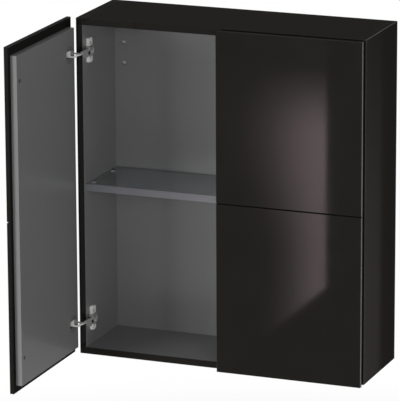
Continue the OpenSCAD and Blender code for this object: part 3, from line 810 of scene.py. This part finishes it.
def pale_floor(drop, base):
    """Round pale floor that fades into the white background at its rim."""
    deselect()
    bpy.ops.mesh.primitive_circle_add(
        vertices=FLOOR_SIDES, radius=FLOOR_RADIUS, fill_type="NGON", location=(0, 0, -drop)
    )
    floor = bpy.context.active_object
    floor.name = "floor"
    material = bpy.data.materials.new("pale_floor")
    material.use_nodes = True
    tree = material.node_tree
    matt = tree.nodes["Principled BSDF"]
    matt.inputs["Base Color"].default_value = (*base, 1)
    matt.inputs["Roughness"].default_value = 0.9
    matt.inputs["Specular IOR Level"].default_value = 0.1
    white = tree.nodes.new("ShaderNodeEmission")
    blend = tree.nodes.new("ShaderNodeMixShader")
    where = tree.nodes.new("ShaderNodeTexCoord")
    distance = tree.nodes.new("ShaderNodeVectorMath")
    distance.operation = "LENGTH"
    tree.links.new(where.outputs["Object"], distance.inputs[0])
    rim = rise(tree, distance.outputs["Value"], *FLOOR_FADE)
    tree.links.new(math_node(tree, "MULTIPLY", rim, seen_directly(tree)), blend.inputs["Fac"])
    tree.links.new(matt.outputs["BSDF"], blend.inputs[1])
    tree.links.new(white.outputs["Emission"], blend.inputs[2])
    tree.links.new(blend.outputs["Shader"], tree.nodes["Material Output"].inputs["Surface"])
    floor.data.materials.append(material)


def studio_world(level):
    """White where it is seen, and a plain soft level of light elsewhere."""
    world = bpy.data.worlds.new("studio")
    bpy.context.scene.world = world
    world.use_nodes = True
    tree = world.node_tree
    tree.nodes.clear()
    out = tree.nodes.new("ShaderNodeOutputWorld")
    fill = tree.nodes.new("ShaderNodeBackground")
    fill.inputs["Color"].default_value = (level, level, level, 1)
    white = tree.nodes.new("ShaderNodeBackground")
    white.inputs["Color"].default_value = (1, 1, 1, 1)
    blend = tree.nodes.new("ShaderNodeMixShader")
    tree.links.new(seen_directly(tree), blend.inputs["Fac"])
    tree.links.new(fill.outputs["Background"], blend.inputs[1])
    tree.links.new(white.outputs["Background"], blend.inputs[2])
    tree.links.new(blend.outputs["Shader"], out.inputs["Surface"])


def lamp(name, place, size, energy):
    """Large soft lamp that looks at the cabinet, and is neither in view nor mirrored."""
    deselect()
    bpy.ops.object.light_add(type="AREA", location=place)
    light = bpy.context.active_object
    light.name = name
    light.data.size = size
    light.data.energy = energy
    light.rotation_euler = (Vector(LAMP_AIM) - Vector(place)).to_track_quat("-Z", "Y").to_euler()
    light.visible_camera = False
    light.visible_glossy = False


def photo_camera():
    """Camera at the photograph's angle."""
    deselect()
    bpy.ops.object.camera_add()
    camera = bpy.context.active_object
    camera.name = "camera"
    azimuth, elevation, roll = [radians(CAMERA[angle]) for angle in ("azimuth", "elevation", "roll")]
    back = Vector((sin(azimuth) * cos(elevation), -cos(azimuth) * cos(elevation), sin(elevation)))
    camera.location = Vector(CAMERA["aim"]) + back * CAMERA["distance"]
    camera.rotation_euler = (back.to_track_quat("Z", "Y").to_matrix() @ Matrix.Rotation(roll, 3, "Z")).to_euler()
    camera.data.sensor_fit = "HORIZONTAL"
    camera.data.sensor_width = CAMERA["sensor"]
    camera.data.lens = CAMERA["sensor"] * CAMERA["focal_pixels"] / CAMERA["image_pixels"]
    camera.data.clip_end = CAMERA["reach"]
    bpy.context.scene.camera = camera


class CABINET_OT_studio(Step, bpy.types.Operator):
    """Floor, background, cards, lamps and camera."""

    bl_idname = "cabinet.studio"
    bl_label = "Studio"

    def execute(self, context):
        studio_world(WORLD_LEVEL)
        pale_floor(context.scene.cabinet_sizes.floor_drop, context.scene.cabinet_colours.floor)
        front_card()
        back_card()
        strip_card()
        for settings in LAMPS:
            lamp(*settings)
        photo_camera()
        context.scene.view_settings.view_transform = "Standard"
        return {"FINISHED"}


# Panel and registration


STEPS = (
    CABINET_OT_side_boards,
    CABINET_OT_cross_boards,
    CABINET_OT_back_board,
    CABINET_OT_dowels,
    CABINET_OT_front_panels,
    CABINET_OT_inner_panels,
    CABINET_OT_front_screws,
    CABINET_OT_shelf,
    CABINET_OT_hinge_cups,
    CABINET_OT_hinge_links,
    CABINET_OT_hinge_arms,
    CABINET_OT_wall_hangers,
    CABINET_OT_studio,
)


class CABINET_PT_steps(bpy.types.Panel):
    """Lists the steps that build the cabinet, with its sizes and colours."""

    bl_idname = "CABINET_PT_steps"
    bl_label = "Linen cabinet"
    bl_space_type = "VIEW_3D"
    bl_region_type = "UI"
    bl_category = "Linen cabinet"

    def draw(self, context):
        layout = self.layout
        for group in (context.scene.cabinet_sizes, context.scene.cabinet_colours):
            column = layout.column(align=True)
            for name in group.__annotations__:
                column.prop(group, name)
        for step in STEPS:
            layout.operator(step.bl_idname)


CLASSES = (CabinetSizes, CabinetColours, *STEPS, CABINET_PT_steps)


def register():
    """Registers the classes and hangs the settings on the scene."""
    for item in CLASSES:
        bpy.utils.register_class(item)
    bpy.types.Scene.cabinet_sizes = PointerProperty(type=CabinetSizes)
    bpy.types.Scene.cabinet_colours = PointerProperty(type=CabinetColours)


def unregister():
    """Takes the settings and the classes away again."""
    del bpy.types.Scene.cabinet_colours
    del bpy.types.Scene.cabinet_sizes
    for item in reversed(CLASSES):
        bpy.utils.unregister_class(item)


def main():
    """Builds the cabinet."""
    register()
    for step in STEPS:
        group, name = step.bl_idname.split(".")
        getattr(getattr(bpy.ops, group), name)()


if __name__ == "__main__":
    main()
